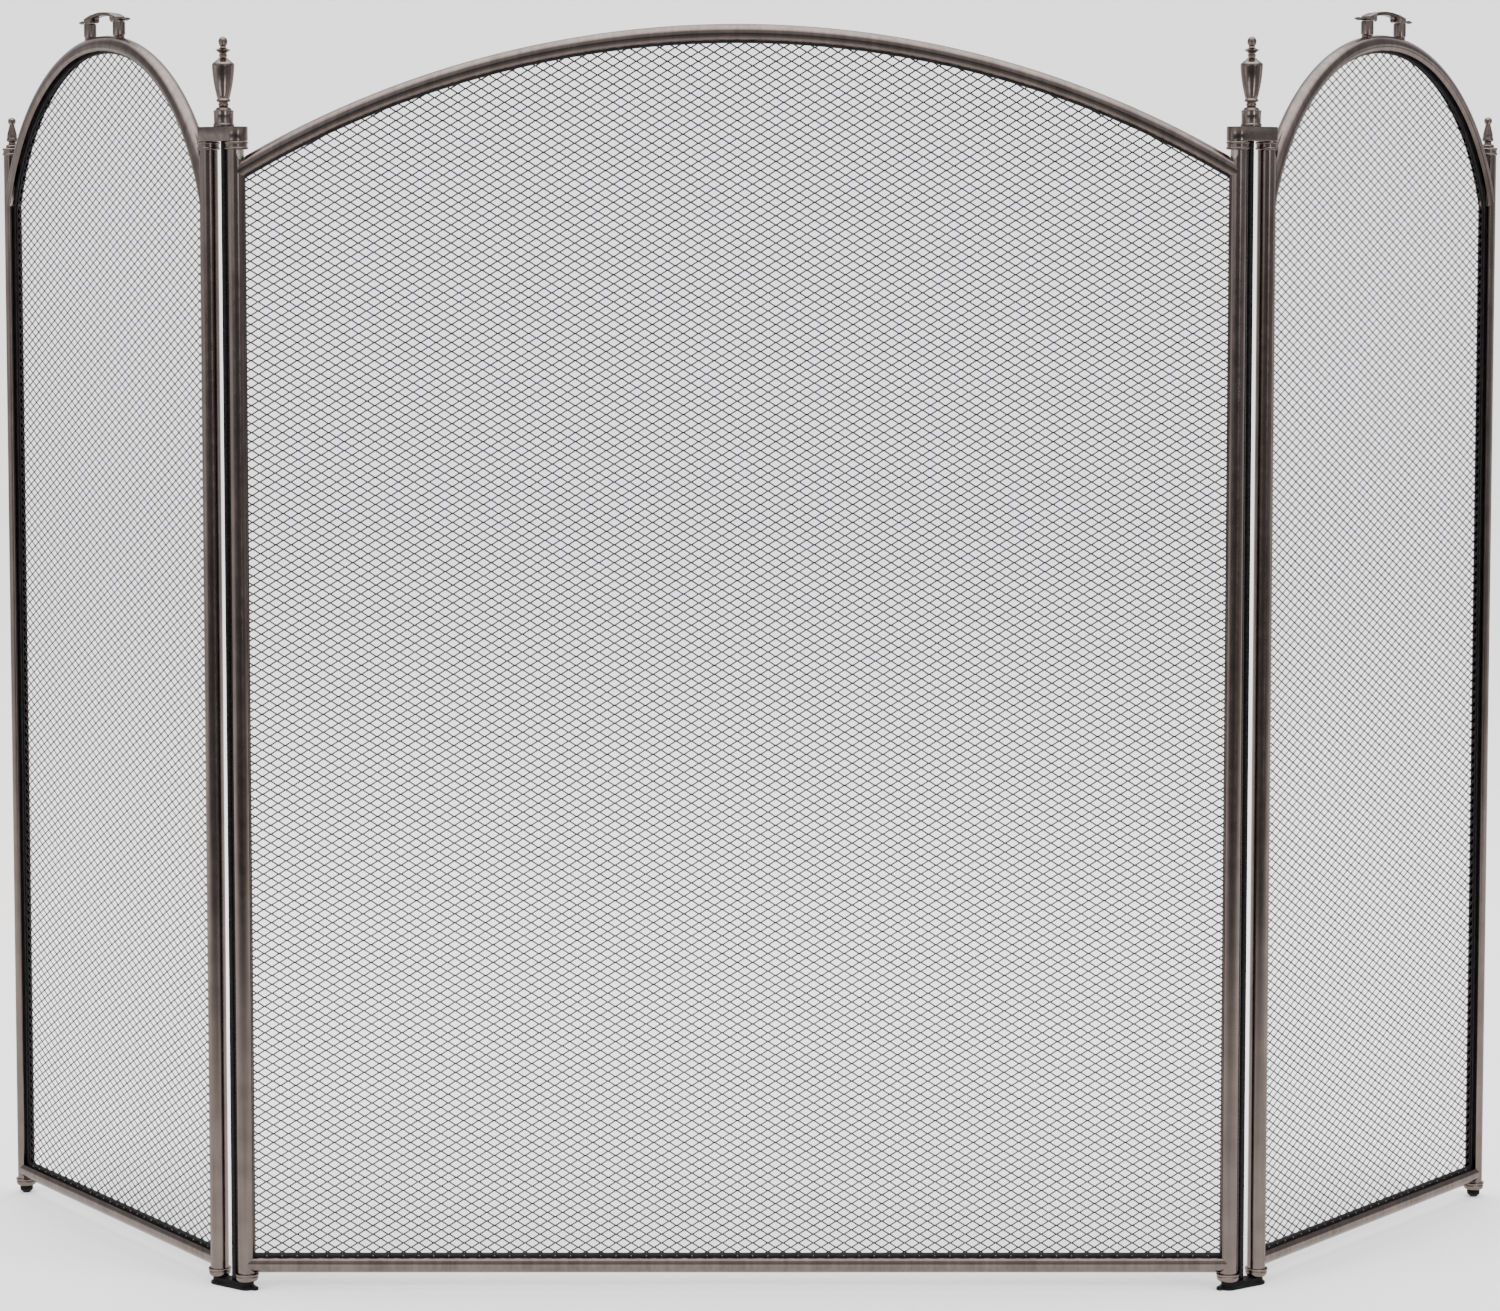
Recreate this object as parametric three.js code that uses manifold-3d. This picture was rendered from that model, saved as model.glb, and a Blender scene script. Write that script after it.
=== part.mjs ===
// Three-panel folding fireplace screen: an arched centre panel and two narrow arched wings, joined
// by double-pivot hinges. Millimetres, +Z up, the front faces -Y. The origin is on the floor, in the
// middle of the screen's box as it stands with its wings folded back.
import * as THREE from 'three';
import { mergeVertices } from 'three/addons/utils/BufferGeometryUtils.js';
import Module from 'manifold-3d';

const wasm = await Module();
wasm.setup();

// ---- Driving dimensions ------------------------------------------------------------------------

const GAP = 0.3; // clearance kept between neighbouring pieces

// Slotted steel tube that every panel frame is made of
const TUBE_RADIUS = 6.35;
const TUBE_WALL = 0.8;
const SLOT_WIDTH = 8.4;
const TUBE_FACETS = 5; // the tube's section is drawn with twice as many facets on each wall

// Panels, all measured to the tubes' axes
const CENTER_SPAN = 675;
const CENTER_ARCH_RADIUS = 659;
const CENTER_CROWN_Z = 859;
const WING_SPAN = 300;
const WING_ARCH_RADIUS = 156;
const WING_CROWN_Z = 857.5;
const RAIL_Z = 17.8;
const POST_BOTTOM_Z = 11.2;
const POST_TOP_Z = 781;

// Mesh sheet and the black channel that binds its edge and sits in the tubes' slots
const MESH_THICKNESS = 0.5;
const EDGING_THICKNESS = 2.3;
const EDGING_WEB = 1;
const EDGING_INSET = 0; // from the tube axis to the channel's outer edge
const EDGING_REACH = 6.2; // from the tube axis to the channel's inner edge
const EDGING_GROOVE = 1.1;

// Hinges
const LINK_PITCH = 25; // between the two pivots of a hinge
const LINK_HALF_WIDTH = 7.8;
const LINK_HEIGHT = 9.4;
const LINK_SQUARE_END = 3.2; // how far the square end reaches past the wing's pivot
const LINK_CHAMFER = 1.2;
const PIN_RADIUS = 2.5;
const PIN_HOLE_DEPTH = 6;
const ROD_RADIUS = 2.15;
const ROD_X = 11; // the rod and the finial stand a little nearer to the centre panel's pivot
const LEFT_LINK_ANGLE = 34; // how far each hinge link and each wing is folded back from the centre
const LEFT_WING_ANGLE = 53; // panel's line, in degrees, as the screen stands
const RIGHT_LINK_ANGLE = 32;
const RIGHT_WING_ANGLE = 49.5;

// Bushes: a double-lipped collar with a spigot that plugs the end of a post
const COLLAR_HEIGHT = 5.6;
const CENTER_COLLAR_RADIUS = 8.3;
const WING_COLLAR_RADIUS = 7.9;
const COLLAR_GROOVE_DEPTH = 0.8;
const SPIGOT_RADIUS = 5.2;
const TOP_SPIGOT = 12;
const BOTTOM_SPIGOT = 5.5;
const NOTCH_RADIUS = 7.6; // the round cut that widens a hinge-side post's slot under its collar
const NOTCH_OFFSET = 8.5; // from the post's axis to the cut's, towards the slot
const NOTCH_Z = 780;

// Feet
const FOOT_FLANGE_RADIUS = 6.2;
const FOOT_FLANGE_HEIGHT = 2.2;
const FOOT_WAIST_RADIUS = 4.7;
const FOOT_SOCKET_FLOOR = 1.4; // plastic left under the pins and the rod
const GLIDE_RADIUS = 4.8;

// Lift handles
const LEG_SPACING = 44;
const LEG_RADIUS = 4.45;
const GRIP_TOP_Z = 880.5;
const GRIP_THICKNESS = 3;
const GRIP_WIDTH = 8.8;
const GRIP_HALF_LENGTH = 24.8;
const GRIP_RADIUS = 76;
const GRIP_PAD_START = 14.8; // where the thin band between the legs meets the thick pads on them
const GRIP_PAD_BOTTOM_Z = 873.2;
const GRIP_ROD_RADIUS = 1.1; // the rod through each pad, from its knob to its pointed tip
const GRIP_ROD_Z = 874.2;
const GRIP_KNOB_X = 10;
const GRIP_TIP_X = 39.5;

// Heights that follow from the ones above
const FOOT_HEIGHT = POST_BOTTOM_Z - COLLAR_HEIGHT - 2 * GAP;
const LINK_BOTTOM_Z = POST_TOP_Z + COLLAR_HEIGHT + 2 * GAP;
const LINK_TOP_Z = LINK_BOTTOM_Z + LINK_HEIGHT;
const FINIAL_Z = LINK_TOP_Z + GAP;
const FINIAL_BORE = 11.5; // depth of the thread that takes the tie rod

// ---- Materials ---------------------------------------------------------------------------------

const pewter = new THREE.MeshStandardMaterial({ color: 0x8a8078, metalness: 1, roughness: 0.28 });
const castPewter = new THREE.MeshStandardMaterial({ color: 0x857b70, metalness: 1, roughness: 0.35 });
const blackMesh = new THREE.MeshStandardMaterial({ color: 0x28262a, metalness: 0.3, roughness: 0.6 });
const blackSteel = new THREE.MeshStandardMaterial({ color: 0x1b1b1e, metalness: 0.5, roughness: 0.45 });
const blackPlastic = new THREE.MeshStandardMaterial({ color: 0x161616, metalness: 0, roughness: 0.55 });
const pinSteel = new THREE.MeshStandardMaterial({ color: 0x9b9a98, metalness: 1, roughness: 0.35 });

// ---- Helpers -----------------------------------------------------------------------------------

const radians = THREE.MathUtils.degToRad;

// A three.js geometry as a manifold solid, and back again
function solid(geometry) {
  const bare = geometry.index ? geometry : geometry.clone();
  bare.deleteAttribute('normal');
  bare.deleteAttribute('uv');
  const merged = mergeVertices(bare, 1e-4);
  return new wasm.Manifold(
    new wasm.Mesh({
      numProp: 3,
      vertProperties: new Float32Array(merged.attributes.position.array),
      triVerts: new Uint32Array(merged.index.array),
    }),
  );
}

function geometryOf(manifold) {
  const mesh = manifold.getMesh();
  const geometry = new THREE.BufferGeometry();
  geometry.setAttribute('position', new THREE.BufferAttribute(mesh.vertProperties, 3));
  geometry.setIndex(new THREE.BufferAttribute(mesh.triVerts, 1));
  geometry.computeVertexNormals();
  return geometry;
}

function named(name, geometry, material) {
  const mesh = new THREE.Mesh(geometry, material);
  mesh.name = name;
  return mesh;
}

// A solid turned about the Z axis. The profile is a list of [radius, z] that starts and ends on the
// axis, or closes on itself round a bore.
function turned(profile, segments = 14) {
  const points = profile.map(([radius, z]) => new THREE.Vector2(radius, z));
  return new THREE.LatheGeometry(points, segments).rotateX(Math.PI / 2);
}

function cylinder(radius, bottom, top, x = 0, segments = 14) {
  return turned([[0, bottom], [radius, bottom], [radius, top], [0, top]], segments).translate(x, 0, 0);
}

// An upright sheet: an outline in the XZ plane, given a thickness centred on Y = 0
function upright(shape, thickness, segments = 9) {
  return new THREE.ExtrudeGeometry(shape, {
    depth: thickness,
    bevelEnabled: false,
    curveSegments: segments,
  })
    .rotateX(Math.PI / 2)
    .translate(0, thickness / 2, 0);
}

// A level plate: an outline in the XY plane between two heights
function level(shape, bottom, top, segments = 6) {
  return new THREE.ExtrudeGeometry(shape, {
    depth: top - bottom,
    bevelEnabled: false,
    curveSegments: segments,
  }).translate(0, 0, bottom);
}

// A capsule outline round the two pivots of a hinge
function stadium(radius) {
  const shape = new THREE.Shape();
  shape.absarc(0, 0, radius, Math.PI / 2, (3 * Math.PI) / 2, false);
  shape.absarc(LINK_PITCH, 0, radius, -Math.PI / 2, Math.PI / 2, false);
  shape.closePath();
  return shape;
}

// ---- Slotted tubes -----------------------------------------------------------------------------

// The C-shaped section, its slot facing the direction given in degrees
function slottedSection(slotDirection) {
  const inner = TUBE_RADIUS - TUBE_WALL;
  const facing = radians(slotDirection);
  const outerHalf = Math.asin(SLOT_WIDTH / 2 / TUBE_RADIUS);
  const innerHalf = Math.asin(SLOT_WIDTH / 2 / inner);
  const shape = new THREE.Shape();
  shape.absarc(0, 0, TUBE_RADIUS, facing + outerHalf, facing + 2 * Math.PI - outerHalf, false);
  shape.absarc(0, 0, inner, facing + 2 * Math.PI - innerHalf, facing + innerHalf, true);
  shape.closePath();
  return shape;
}

// An upright post whose slot faces +X, or -X when turned round
function post(x, slotDirection) {
  return level(slottedSection(slotDirection), POST_BOTTOM_Z, POST_TOP_Z, TUBE_FACETS)
    .translate(x, 0, 0);
}

// A post on the hinge side, whose slot widens in a round notch at its top
function notchedPost(x, slotDirection) {
  const side = Math.cos(radians(slotDirection));
  const cut = cylinder(NOTCH_RADIUS, -2 * TUBE_RADIUS, 2 * TUBE_RADIUS, 0, 28)
    .rotateX(Math.PI / 2)
    .translate(x + side * NOTCH_OFFSET, 0, NOTCH_Z);
  return geometryOf(solid(post(x, slotDirection)).subtract(solid(cut)));
}

// The two posts' outside, a clearance larger, which shapes the ends of rails and arches
function postsCutter(span) {
  const cutter = (x) => solid(cylinder(TUBE_RADIUS + GAP, 0, 900, x, 28));
  return cutter(-span / 2).add(cutter(span / 2));
}

// A rail between the posts with its slot on top and its ends shaped to the posts
function bottomRail(span) {
  const bar = new THREE.ExtrudeGeometry(slottedSection(0), {
    depth: span,
    bevelEnabled: false,
    curveSegments: TUBE_FACETS,
  })
    .rotateY(-Math.PI / 2)
    .translate(span / 2, 0, RAIL_Z);
  return geometryOf(solid(bar).subtract(postsCutter(span)));
}

// A circular arc in the XZ plane over x = 0, from the left post's axis to the right one's
class ArchCurve extends THREE.Curve {
  constructor(span, radius, crownZ) {
    super();
    this.radius = radius;
    this.centerZ = crownZ - radius;
    this.halfAngle = Math.asin(span / 2 / radius);
  }

  getPoint(t, target = new THREE.Vector3()) {
    const angle = (2 * t - 1) * this.halfAngle;
    return target.set(
      this.radius * Math.sin(angle),
      0,
      this.centerZ + this.radius * Math.cos(angle),
    );
  }
}

// The arch, its slot facing inwards and its ends shaped to the posts
function arch(panel, steps) {
  const bow = new THREE.ExtrudeGeometry(slottedSection(90), {
    steps,
    bevelEnabled: false,
    curveSegments: TUBE_FACETS,
    extrudePath: new ArchCurve(panel.span, panel.archRadius, panel.crownZ),
  });
  return geometryOf(solid(bow).subtract(postsCutter(panel.span)));
}

// ---- Mesh and edging ---------------------------------------------------------------------------

// The outline inside a panel's frame, a given distance in from the tubes' axes
function panelOutline(panel, inset, shape = new THREE.Shape()) {
  const half = panel.span / 2 - inset;
  const radius = panel.archRadius - inset;
  const centerZ = panel.crownZ - panel.archRadius;
  const spring = Math.acos(half / radius);
  shape.moveTo(-half, RAIL_Z + inset);
  shape.lineTo(half, RAIL_Z + inset);
  shape.lineTo(half, centerZ + radius * Math.sin(spring));
  shape.absarc(0, centerZ, radius, spring, Math.PI - spring, false);
  shape.closePath();
  return shape;
}

function meshSheet(panel) {
  return upright(panelOutline(panel, EDGING_INSET + EDGING_WEB + GAP), MESH_THICKNESS);
}

// A channel bent round the whole edge of the mesh, open towards its middle
function meshEdging(panel) {
  const frame = panelOutline(panel, EDGING_INSET);
  frame.holes.push(panelOutline(panel, EDGING_REACH, new THREE.Path()));
  const groove = panelOutline(panel, EDGING_INSET + EDGING_WEB);
  const channel = solid(upright(frame, EDGING_THICKNESS)).subtract(solid(upright(groove, EDGING_GROOVE)));
  return geometryOf(channel);
}

// ---- Bushes, caps and feet ---------------------------------------------------------------------

// The double-lipped collar from bottom to top, from the collar's own height zero
function collarLips(radius, base) {
  const groove = radius - COLLAR_GROOVE_DEPTH;
  return [
    [radius, base],
    [radius, base + 2],
    [groove, base + 2.4],
    [groove, base + 3.2],
    [radius, base + 3.6],
    [radius, base + COLLAR_HEIGHT],
  ];
}

// The collar and spigot of a post's top end, with a bore for the hinge pin
function topBush(radius) {
  const bore = PIN_RADIUS + GAP;
  const bottom = POST_TOP_Z - TOP_SPIGOT;
  const seat = POST_TOP_Z + GAP;
  return turned([
    [bore, bottom],
    [SPIGOT_RADIUS, bottom],
    [SPIGOT_RADIUS, seat],
    ...collarLips(radius, seat),
    [bore, seat + COLLAR_HEIGHT],
    [bore, bottom],
  ]);
}

// The cup-shaped collar and spigot of a post's bottom end, with a bore of the given radius
function bottomBush(radius, bore) {
  const base = POST_BOTTOM_Z - GAP - COLLAR_HEIGHT;
  const top = POST_BOTTOM_Z + BOTTOM_SPIGOT;
  return turned([
    [bore, base],
    [radius - 2.2, base],
    [radius - 0.9, base + 0.8],
    [radius - 0.3, base + 2.4],
    [radius - 0.6, base + 3.8],
    [radius, base + 4.2],
    [radius, base + COLLAR_HEIGHT],
    [SPIGOT_RADIUS, base + COLLAR_HEIGHT],
    [SPIGOT_RADIUS, top],
    [bore, top],
    [bore, base],
  ]);
}

const STUD_RADIUS = 1.5;
const STUD_LENGTH = 4;

// The cap that closes a wing's outer post and takes the finial's stud
function topCap() {
  const bottom = POST_TOP_Z - TOP_SPIGOT;
  const seat = POST_TOP_Z + GAP;
  const top = seat + COLLAR_HEIGHT;
  return turned([
    [0, bottom],
    [SPIGOT_RADIUS, bottom],
    [SPIGOT_RADIUS, seat],
    ...collarLips(WING_COLLAR_RADIUS, seat),
    [STUD_RADIUS + GAP, top],
    [STUD_RADIUS + GAP, top - STUD_LENGTH],
    [0, top - STUD_LENGTH],
  ]);
}

const GLIDE_STEM_RADIUS = 2;

// The plastic glide under a wing's outer post: a stepped, domed button with a stem
function glide() {
  const top = FOOT_HEIGHT;
  return turned([
    [0, 0],
    [2.8, 0],
    [3.6, 1.1],
    [GLIDE_RADIUS - 0.5, 1.4],
    [GLIDE_RADIUS, 2.4],
    [GLIDE_RADIUS, top],
    [GLIDE_STEM_RADIUS, top],
    [GLIDE_STEM_RADIUS, top + 8],
    [0, top + 8],
  ]);
}

// ---- Finials -----------------------------------------------------------------------------------

const HINGE_FINIAL_PROFILE = [
  [7, 0], [7, 2.2], [6.5, 2.4], [6.5, 10.2], [5.4, 10.6], [5.2, 12.4],
  [2.9, 13.2], [3.4, 14.4], [2.9, 15.6], [4.5, 17], [4.5, 18.4], [3.9, 19],
  [5.3, 23.2], [6.9, 30.8], [7.6, 40.2], [7.2, 42.4],
  [3.4, 45], [2.1, 46.2], [2.6, 47], [2.1, 48],
  [4.9, 50.8], [4.8, 51.6], [1.7, 53.6], [2.9, 56], [3.1, 57.6], [2.2, 59.6],
];

// The urn finial: it screws on to the tie rod and clamps the hinge together
function hingeFinial() {
  const bore = ROD_RADIUS + GAP;
  return turned(
    [
      [0, FINIAL_BORE],
      [bore, FINIAL_BORE],
      [bore, 0],
      ...HINGE_FINIAL_PROFILE,
      [0, 60.6],
    ],
    14,
  ).translate(ROD_X, 0, FINIAL_Z);
}

const WING_FINIAL_PROFILE = [
  [4.6, 0], [4.6, 1.6], [2.7, 2.8], [2.6, 4.2], [4.1, 5.4],
  [3.6, 9.4], [1.8, 17], [2.9, 19], [2.7, 21], [1.5, 22.1],
];

// The small ball-and-cone finial on a wing's outer post, with a stud that enters the cap
function wingFinial() {
  return turned(
    [
      [0, GAP - STUD_LENGTH],
      [STUD_RADIUS, GAP - STUD_LENGTH],
      [STUD_RADIUS, 0],
      ...WING_FINIAL_PROFILE,
      [0, 22.5],
    ],
    12,
  ).translate(0, 0, POST_TOP_Z + COLLAR_HEIGHT + 2 * GAP);
}

// ---- Hinges ------------------------------------------------------------------------------------

// The link's outline: round over the centre panel's pivot, square past the wing's
function linkOutline() {
  const end = LINK_PITCH + LINK_SQUARE_END;
  const shape = new THREE.Shape();
  shape.absarc(0, 0, LINK_HALF_WIDTH, Math.PI / 2, (3 * Math.PI) / 2, false);
  shape.lineTo(end - LINK_CHAMFER, -LINK_HALF_WIDTH);
  shape.lineTo(end, LINK_CHAMFER - LINK_HALF_WIDTH);
  shape.lineTo(end, LINK_HALF_WIDTH - LINK_CHAMFER);
  shape.lineTo(end - LINK_CHAMFER, LINK_HALF_WIDTH);
  shape.closePath();
  return shape;
}

function hingeLink() {
  const pinHole = (x) => solid(cylinder(PIN_RADIUS + GAP, 0, LINK_BOTTOM_Z + PIN_HOLE_DEPTH, x));
  const rodHole = solid(cylinder(ROD_RADIUS + GAP, 0, GRIP_TOP_Z, ROD_X));
  const plate = solid(level(linkOutline(), LINK_BOTTOM_Z, LINK_TOP_Z, 6));
  return geometryOf(plate.subtract(pinHole(0)).subtract(pinHole(LINK_PITCH)).subtract(rodHole));
}

// The plastic foot under both posts: a flange on the floor, a waist, and sockets for pins and rod
function hingeFoot() {
  const socket = (radius, x) => solid(cylinder(radius + GAP, FOOT_SOCKET_FLOOR, POST_TOP_Z, x));
  const flange = solid(level(stadium(FOOT_FLANGE_RADIUS), 0, FOOT_FLANGE_HEIGHT));
  const waist = solid(level(stadium(FOOT_WAIST_RADIUS), FOOT_FLANGE_HEIGHT / 2, FOOT_HEIGHT));
  return geometryOf(
    flange
      .add(waist)
      .subtract(socket(PIN_RADIUS, 0))
      .subtract(socket(PIN_RADIUS, LINK_PITCH))
      .subtract(socket(ROD_RADIUS, ROD_X)),
  );
}

// One hinge in its own frame: the centre panel's pivot at x = 0, the wing's at x = LINK_PITCH
function hinge(side) {
  const group = new THREE.Group();
  const topPin = (x) =>
    cylinder(PIN_RADIUS, POST_TOP_Z - TOP_SPIGOT, LINK_BOTTOM_Z + PIN_HOLE_DEPTH - GAP, x);
  const bottomPin = (x) =>
    cylinder(PIN_RADIUS, FOOT_SOCKET_FLOOR + GAP, POST_BOTTOM_Z + BOTTOM_SPIGOT, x);
  const rod = cylinder(ROD_RADIUS, FOOT_SOCKET_FLOOR + GAP, FINIAL_Z + FINIAL_BORE - GAP, ROD_X);
  group.add(
    named(`${side}_hinge_link`, hingeLink(), castPewter),
    named(`${side}_hinge_finial`, hingeFinial(), castPewter),
    named(`${side}_hinge_tie_rod`, rod, blackSteel),
    named(`${side}_hinge_foot`, hingeFoot(), blackPlastic),
    named(`${side}_hinge_top_center_pin`, topPin(0), pinSteel),
    named(`${side}_hinge_top_wing_pin`, topPin(LINK_PITCH), pinSteel),
    named(`${side}_hinge_bottom_center_pin`, bottomPin(0), pinSteel),
    named(`${side}_hinge_bottom_wing_pin`, bottomPin(LINK_PITCH), pinSteel),
  );
  return group;
}

// ---- Lift handle -------------------------------------------------------------------------------

// The grip's outline: a thin bow between two pads with level undersides
function gripOutline() {
  const centerZ = GRIP_TOP_Z - GRIP_RADIUS;
  const topAngle = Math.acos(GRIP_HALF_LENGTH / GRIP_RADIUS);
  const innerRadius = GRIP_RADIUS - GRIP_THICKNESS;
  const innerAngle = Math.acos(GRIP_PAD_START / innerRadius);
  const shape = new THREE.Shape();
  shape.absarc(0, centerZ, GRIP_RADIUS, topAngle, Math.PI - topAngle, false);
  shape.lineTo(-GRIP_HALF_LENGTH, GRIP_PAD_BOTTOM_Z);
  shape.lineTo(-GRIP_PAD_START, GRIP_PAD_BOTTOM_Z);
  shape.absarc(0, centerZ, innerRadius, Math.PI - innerAngle, innerAngle, true);
  shape.lineTo(GRIP_PAD_START, GRIP_PAD_BOTTOM_Z);
  shape.lineTo(GRIP_HALF_LENGTH, GRIP_PAD_BOTTOM_Z);
  shape.closePath();
  return shape;
}

// The grip with a rod through each pad, knobbed at its inner end and pointed at its outer end
function handleGrip() {
  const rod = (side) => {
    const bar = turned(
      [
        [0, GRIP_KNOB_X],
        [GRIP_ROD_RADIUS, GRIP_KNOB_X + 0.5],
        [GRIP_ROD_RADIUS, GRIP_KNOB_X + 2],
        [0.8, GRIP_KNOB_X + 3],
        [0.8, GRIP_HALF_LENGTH + 2],
        [GRIP_ROD_RADIUS, GRIP_HALF_LENGTH + 6],
        [0, GRIP_TIP_X],
      ],
      10,
    );
    return solid(bar.rotateY((side * Math.PI) / 2).translate(0, 0, GRIP_ROD_Z));
  };
  return geometryOf(solid(upright(gripOutline(), GRIP_WIDTH, 8)).add(rod(-1)).add(rod(1)));
}

// A round leg between the arch and the grip, its foot shaped to the arch tube
function handleLeg(panel, x) {
  const top = GRIP_PAD_BOTTOM_Z - GAP;
  const tube = new THREE.Shape();
  tube.absarc(0, 0, TUBE_RADIUS + GAP, 0, 2 * Math.PI, false);
  const bow = new THREE.ExtrudeGeometry(tube, {
    steps: 20,
    bevelEnabled: false,
    curveSegments: TUBE_FACETS + 2,
    extrudePath: new ArchCurve(panel.span, panel.archRadius, panel.crownZ),
  });
  const body = turned(
    [
      [0, panel.crownZ],
      [LEG_RADIUS - 0.6, panel.crownZ],
      [LEG_RADIUS - 0.6, panel.crownZ + TUBE_RADIUS],
      [LEG_RADIUS, panel.crownZ + TUBE_RADIUS + 0.6],
      [LEG_RADIUS, top],
      [0, top],
    ],
    14,
  ).translate(x, 0, 0);
  return geometryOf(solid(body).subtract(solid(bow)));
}

// ---- Panels ------------------------------------------------------------------------------------

const centerPanel = { span: CENTER_SPAN, archRadius: CENTER_ARCH_RADIUS, crownZ: CENTER_CROWN_Z };
const wingPanel = { span: WING_SPAN, archRadius: WING_ARCH_RADIUS, crownZ: WING_CROWN_Z };

// The centre panel, in its own plane with x = 0 at its middle
function center() {
  const group = new THREE.Group();
  group.add(
    named('center_arch', arch(centerPanel, 20), pewter),
    named('center_bottom_rail', bottomRail(CENTER_SPAN), pewter),
    named('center_mesh', meshSheet(centerPanel), blackMesh),
    named('center_mesh_edging', meshEdging(centerPanel), blackSteel),
  );
  for (const [side, x, slot] of [['left', -CENTER_SPAN / 2, 0], ['right', CENTER_SPAN / 2, 180]]) {
    const lower = bottomBush(CENTER_COLLAR_RADIUS, PIN_RADIUS + GAP);
    group.add(
      named(`center_${side}_post`, notchedPost(x, slot), pewter),
      named(`center_${side}_top_bush`, topBush(CENTER_COLLAR_RADIUS).translate(x, 0, 0), castPewter),
      named(`center_${side}_bottom_bush`, lower.translate(x, 0, 0), castPewter),
    );
  }
  return group;
}

// A wing in its own plane: its inner post, which pivots, at x = 0 and its outer post at +X
function wing(side) {
  const group = new THREE.Group();
  const inner = -WING_SPAN / 2;
  const outer = WING_SPAN / 2;
  const innerLower = bottomBush(WING_COLLAR_RADIUS, PIN_RADIUS + GAP);
  const outerLower = bottomBush(WING_COLLAR_RADIUS, GLIDE_STEM_RADIUS + GAP);
  group.add(
    named(`${side}_wing_inner_post`, notchedPost(inner, 0), pewter),
    named(`${side}_wing_outer_post`, post(outer, 180), pewter),
    named(`${side}_wing_arch`, arch(wingPanel, 18), pewter),
    named(`${side}_wing_bottom_rail`, bottomRail(WING_SPAN), pewter),
    named(`${side}_wing_mesh`, meshSheet(wingPanel), blackMesh),
    named(`${side}_wing_mesh_edging`, meshEdging(wingPanel), blackSteel),
    named(`${side}_wing_inner_top_bush`, topBush(WING_COLLAR_RADIUS).translate(inner, 0, 0), castPewter),
    named(`${side}_wing_inner_bottom_bush`, innerLower.translate(inner, 0, 0), castPewter),
    named(`${side}_wing_outer_top_cap`, topCap().translate(outer, 0, 0), castPewter),
    named(`${side}_wing_outer_bottom_bush`, outerLower.translate(outer, 0, 0), castPewter),
    named(`${side}_wing_finial`, wingFinial().translate(outer, 0, 0), castPewter),
    named(`${side}_wing_glide`, glide().translate(outer, 0, 0), blackPlastic),
    named(`${side}_wing_handle_inner_leg`, handleLeg(wingPanel, -LEG_SPACING / 2), castPewter),
    named(`${side}_wing_handle_outer_leg`, handleLeg(wingPanel, LEG_SPACING / 2), castPewter),
    named(`${side}_wing_handle_grip`, handleGrip(), castPewter),
  );
  group.children.forEach((mesh) => mesh.geometry.translate(WING_SPAN / 2, 0, 0));
  return group;
}

// ---- Assembly ----------------------------------------------------------------------------------

// Angles are measured round +Z from +X, so a left-hand part starts from 180 degrees
const SIDES = [
  { side: 'left', x: -CENTER_SPAN / 2, link: 180 - LEFT_LINK_ANGLE, wing: 180 - LEFT_WING_ANGLE },
  { side: 'right', x: CENTER_SPAN / 2, link: RIGHT_LINK_ANGLE, wing: RIGHT_WING_ANGLE },
];

const screen = new THREE.Group();
screen.add(center());
for (const place of SIDES) {
  const link = hinge(place.side);
  link.position.x = place.x;
  link.rotation.z = radians(place.link);
  const folded = wing(place.side);
  folded.position.set(LINK_PITCH, 0, 0);
  folded.rotation.z = radians(place.wing - place.link);
  link.add(folded);
  screen.add(link);
}

const box = new THREE.Box3().setFromObject(screen, true);
const middle = box.getCenter(new THREE.Vector3());
screen.position.set(-middle.x, -middle.y, 0);
screen.updateMatrixWorld(true);

export default screen;
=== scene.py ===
"""Folding fireplace screen: the visual model, its studio and the camera.

Every piece is worked out in millimetres in the frame of its own panel or hinge, then placed in
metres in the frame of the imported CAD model. In each of those frames x runs outwards along the
panel, y runs to the back and z up, so the left side is a mirror image of the right.
"""

import math

import bpy
import numpy as np
from mathutils import Matrix, Vector


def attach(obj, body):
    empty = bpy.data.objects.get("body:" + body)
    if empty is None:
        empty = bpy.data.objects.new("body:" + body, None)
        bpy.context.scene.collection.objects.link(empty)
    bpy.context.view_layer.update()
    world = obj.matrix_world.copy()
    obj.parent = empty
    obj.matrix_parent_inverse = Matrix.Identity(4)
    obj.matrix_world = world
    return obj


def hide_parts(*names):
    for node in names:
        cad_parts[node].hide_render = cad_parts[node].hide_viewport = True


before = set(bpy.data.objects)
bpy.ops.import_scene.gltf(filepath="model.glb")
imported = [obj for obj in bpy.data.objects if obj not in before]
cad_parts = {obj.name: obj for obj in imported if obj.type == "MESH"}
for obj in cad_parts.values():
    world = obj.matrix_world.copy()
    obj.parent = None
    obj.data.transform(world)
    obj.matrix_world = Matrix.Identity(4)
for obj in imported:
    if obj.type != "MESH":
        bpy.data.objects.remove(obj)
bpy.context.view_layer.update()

MM = 0.001

# ---- Sizes, in millimetres ---------------------------------------------------------------------

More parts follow.
